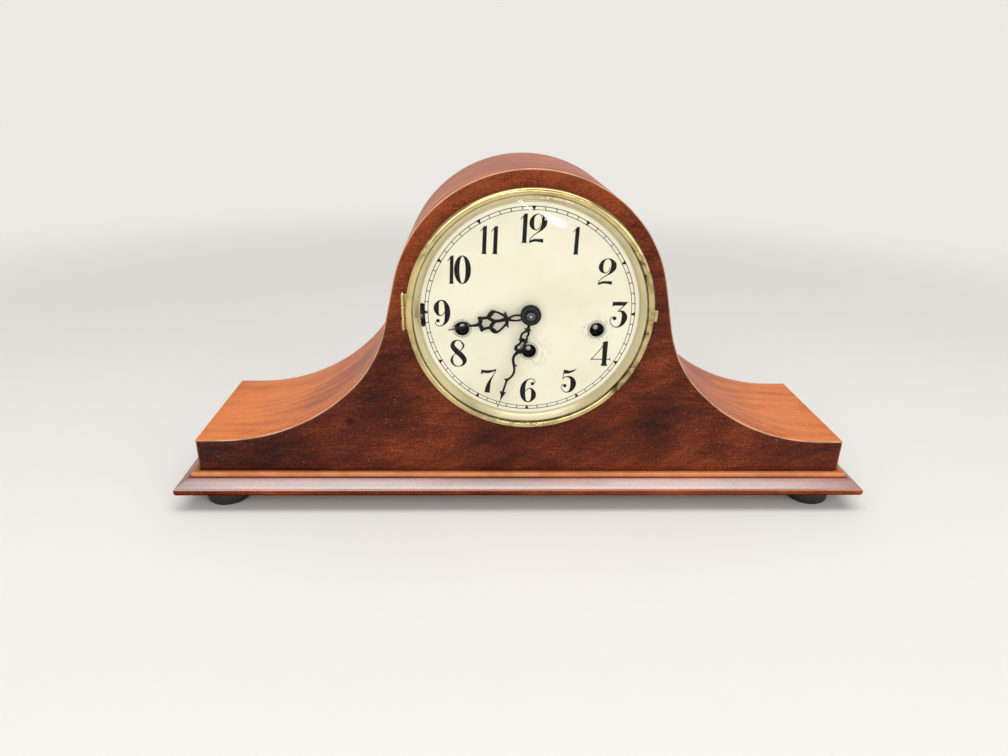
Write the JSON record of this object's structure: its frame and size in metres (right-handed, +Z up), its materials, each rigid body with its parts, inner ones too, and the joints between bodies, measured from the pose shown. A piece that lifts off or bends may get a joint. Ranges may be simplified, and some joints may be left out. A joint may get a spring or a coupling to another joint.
{
  "type": "tambour mantel clock",
  "caption": "Tambour mantel clock with a humped wooden case, stepped base moulding, hinged brass bezel with convex glass, cream dial, serpentine hands and a spring-driven chiming movement.",
  "frame": {"origin": "bottom centre of the bounding box, on the surface the feet stand on", "axes": "+X along the case to the right as seen from the front, +Y from the front to the back, +Z up"},
  "size_m": [0.4678, 0.1164, 0.2256],
  "materials": {
    "case_wood": "satin lacquer over reddish-brown hardwood veneer",
    "inner_wood": "plain unpolished board",
    "black_feet": "matt black",
    "brass": "polished, slightly tarnished",
    "movement_brass": "satin",
    "steel": "satin",
    "dial_cream": "cream paint with black print",
    "glass": "clear, convex",
    "black_metal": "black",
    "nickel": "bright nickel",
    "iron": "dark"
  },
  "bodies": {
    "case": {"front_panel": "case_wood", "back_panel": "inner_wood", "top_wrap": "case_wood", "end_boards": "case_wood", "base_board": "inner_wood", "front_moulding": "case_wood", "end_mouldings": "case_wood", "feet": "black_feet", "wood_screws": "steel", "dial_pan": "brass", "dial_plate": "dial_cream", "winding_grommets": "nickel", "bezel_hinge_leaf": "brass", "hinge_pins": "steel", "door_hinge_leaves": "brass", "front_plate": "movement_brass", "back_plate": "movement_brass", "plate_pillars": "movement_brass", "plate_fasteners": "steel", "mounting_straps": "steel", "rod_block": "iron", "chime_rods": "steel", "hammer_arbor": "steel", "balance_cock": "movement_brass"},
    "bezel_door": {"bezel_ring": "brass", "bezel_glass": "glass", "glass_retainer": "brass"},
    "rear_door": {"rear_door": "inner_wood", "door_knob": "brass", "door_hinge_straps": "brass"},
    "minute": {"minute_hand": "black_metal", "hand_nut": "nickel", "centre_wheel": "movement_brass", "cannon_pinion": "steel"},
    "hour": {"hour_hand": "black_metal", "hour_wheel": "movement_brass"},
    "minute_wheel": {"minute_wheel": "movement_brass"},
    "time_barrel": {"time_barrel": "movement_brass"},
    "second_wheel": {"second_wheel": "movement_brass"},
    "third_wheel": {"third_wheel": "movement_brass"},
    "escape_wheel": {"escape_wheel": "movement_brass"},
    "pallet_anchor": {"pallet_anchor": "steel"},
    "balance_wheel": {"balance_wheel": "movement_brass"},
    "strike_barrel": {"strike_barrel": "movement_brass"},
    "strike_wheel": {"strike_wheel": "movement_brass"},
    "chime_barrel": {"chime_barrel": "movement_brass"},
    "chime_wheel": {"chime_wheel": "movement_brass"},
    "chime_drum": {"chime_drum": "movement_brass"},
    "chime_silent_lever": {"chime_silent_lever": "steel"},
    "time_winding_arbor": {"time_winding_arbor": "steel"},
    "strike_winding_arbor": {"strike_winding_arbor": "steel"},
    "chime_winding_arbor": {"chime_winding_arbor": "steel"},
    "time_click": {"time_click": "steel"},
    "strike_click": {"strike_click": "steel"},
    "chime_click": {"chime_click": "steel"},
    "hammer_1": {"hammer_1": "movement_brass"},
    "hammer_2": {"hammer_2": "movement_brass"},
    "hammer_3": {"hammer_3": "movement_brass"},
    "hammer_4": {"hammer_4": "movement_brass"},
    "hammer_5": {"hammer_5": "movement_brass"}
  },
  "joints": [
    {"name": "bezel_hinge", "type": "hinge", "parent": "case", "child": "bezel_door", "pos_m": [-0.0791, -0.04615, 0.1386], "axis": [0, 0, -1], "range_deg": [0, 110]},
    {"name": "rear_door_hinge", "type": "hinge", "parent": "case", "child": "rear_door", "pos_m": [0.0722, 0.04985, 0.092], "axis": [0, 0, -1], "range_deg": [0, 110]},
    {"name": "minute_hand_spin", "type": "hinge", "parent": "case", "child": "minute", "pos_m": [0, -0.04425, 0.1386], "axis": [0, 1, 0], "continuous": true},
    {"name": "hour_hand_spin", "type": "hinge", "parent": "case", "child": "hour", "pos_m": [0, -0.04425, 0.1386], "axis": [0, 1, 0], "continuous": true},
    {"name": "minute_wheel_spin", "type": "hinge", "parent": "case", "child": "minute_wheel", "pos_m": [0.0099, -0.02825, 0.1485], "axis": [0, 1, 0], "continuous": true},
    {"name": "second_wheel_spin", "type": "hinge", "parent": "case", "child": "second_wheel", "pos_m": [-0.01459, -0.01225, 0.13266], "axis": [0, 1, 0], "continuous": true},
    {"name": "time_barrel_spin", "type": "hinge", "parent": "case", "child": "time_barrel", "pos_m": [0, -0.01325, 0.1136], "axis": [0, 1, 0], "continuous": true},
    {"name": "third_wheel_spin", "type": "hinge", "parent": "case", "child": "third_wheel", "pos_m": [0, -0.01225, 0.15356], "axis": [0, 1, 0], "continuous": true},
    {"name": "escape_wheel_spin", "type": "hinge", "parent": "case", "child": "escape_wheel", "pos_m": [0, -0.01225, 0.16556], "axis": [0, 1, 0], "continuous": true},
    {"name": "anchor_swing", "type": "hinge", "parent": "case", "child": "pallet_anchor", "pos_m": [0, -0.01225, 0.17606], "axis": [0, 1, 0], "range_deg": [-4, 4]},
    {"name": "balance_swing", "type": "hinge", "parent": "case", "child": "balance_wheel", "pos_m": [-0.025, 0.01325, 0.1646], "axis": [0, 0, 1], "range_deg": [-130, 130], "stiffness_Nm_per_rad": 0.0000002},
    {"name": "strike_barrel_spin", "type": "hinge", "parent": "case", "child": "strike_barrel", "pos_m": [-0.0425, -0.01325, 0.1282], "axis": [0, 1, 0], "continuous": true},
    {"name": "strike_wheel_spin", "type": "hinge", "parent": "case", "child": "strike_wheel", "pos_m": [-0.0305, -0.01225, 0.14899], "axis": [0, 1, 0], "continuous": true},
    {"name": "chime_barrel_spin", "type": "hinge", "parent": "case", "child": "chime_barrel", "pos_m": [0.0425, -0.01325, 0.1282], "axis": [0, 1, 0], "continuous": true},
    {"name": "chime_wheel_spin", "type": "hinge", "parent": "case", "child": "chime_wheel", "pos_m": [0.0305, -0.01225, 0.14899], "axis": [0, 1, 0], "continuous": true},
    {"name": "chime_drum_spin", "type": "hinge", "parent": "case", "child": "chime_drum", "pos_m": [0.04147, 0.01575, 0.13875], "axis": [0, 1, 0], "continuous": true},
    {"name": "time_winding", "type": "hinge", "parent": "case", "child": "time_winding_arbor", "pos_m": [0, -0.01425, 0.1136], "axis": [0, 1, 0], "range_deg": [0, 1980]},
    {"name": "time_click_pivot", "type": "hinge", "parent": "case", "child": "time_click", "pos_m": [0, -0.02875, 0.1001], "axis": [0, -1, 0], "range_deg": [0, 12], "stiffness_Nm_per_rad": 0.0002, "springref_deg": -17.19},
    {"name": "strike_winding", "type": "hinge", "parent": "case", "child": "strike_winding_arbor", "pos_m": [-0.0425, -0.01425, 0.1282], "axis": [0, 1, 0], "range_deg": [0, 1980]},
    {"name": "strike_click_pivot", "type": "hinge", "parent": "case", "child": "strike_click", "pos_m": [-0.0425, -0.02875, 0.1147], "axis": [0, -1, 0], "range_deg": [0, 12], "stiffness_Nm_per_rad": 0.0002, "springref_deg": -17.19},
    {"name": "chime_winding", "type": "hinge", "parent": "case", "child": "chime_winding_arbor", "pos_m": [0.0425, -0.01425, 0.1282], "axis": [0, 1, 0], "range_deg": [0, 1980]},
    {"name": "chime_click_pivot", "type": "hinge", "parent": "case", "child": "chime_click", "pos_m": [0.0425, -0.02875, 0.1147], "axis": [0, -1, 0], "range_deg": [0, 12], "stiffness_Nm_per_rad": 0.0002, "springref_deg": -17.19},
    {"name": "hammer_1_swing", "type": "hinge", "parent": "case", "child": "hammer_1", "pos_m": [0.044, 0.00635, 0.1126], "axis": [0, 1, 0], "range_deg": [0, 20]},
    {"name": "hammer_2_swing", "type": "hinge", "parent": "case", "child": "hammer_2", "pos_m": [0.044, 0.01155, 0.1126], "axis": [0, 1, 0], "range_deg": [0, 20]},
    {"name": "hammer_3_swing", "type": "hinge", "parent": "case", "child": "hammer_3", "pos_m": [0.044, 0.01675, 0.1126], "axis": [0, 1, 0], "range_deg": [0, 20]},
    {"name": "hammer_4_swing", "type": "hinge", "parent": "case", "child": "hammer_4", "pos_m": [0.044, 0.02195, 0.1126], "axis": [0, 1, 0], "range_deg": [0, 20]},
    {"name": "hammer_5_swing", "type": "hinge", "parent": "case", "child": "hammer_5", "pos_m": [0.044, 0.02715, 0.1126], "axis": [0, 1, 0], "range_deg": [0, 20]},
    {"name": "chime_silent_swing", "type": "hinge", "parent": "case", "child": "chime_silent_lever", "pos_m": [-0.025, -0.04295, 0.1367], "axis": [0, 1, 0], "range_deg": [-6, 6]}
  ],
  "couplings": [
    {"joint": "hour_hand_spin", "follows": "minute_hand_spin", "ratio": 0.083333},
    {"joint": "minute_wheel_spin", "follows": "minute_hand_spin", "ratio": -0.33333},
    {"joint": "second_wheel_spin", "follows": "minute_hand_spin", "ratio": -0.16667},
    {"joint": "time_barrel_spin", "follows": "minute_hand_spin", "ratio": 0.02381},
    {"joint": "third_wheel_spin", "follows": "minute_hand_spin", "ratio": -10},
    {"joint": "escape_wheel_spin", "follows": "minute_hand_spin", "ratio": 90},
    {"joint": "strike_wheel_spin", "follows": "strike_barrel_spin", "ratio": -7},
    {"joint": "chime_wheel_spin", "follows": "chime_barrel_spin", "ratio": -7},
    {"joint": "chime_drum_spin", "follows": "chime_barrel_spin", "ratio": 7}
  ]
}
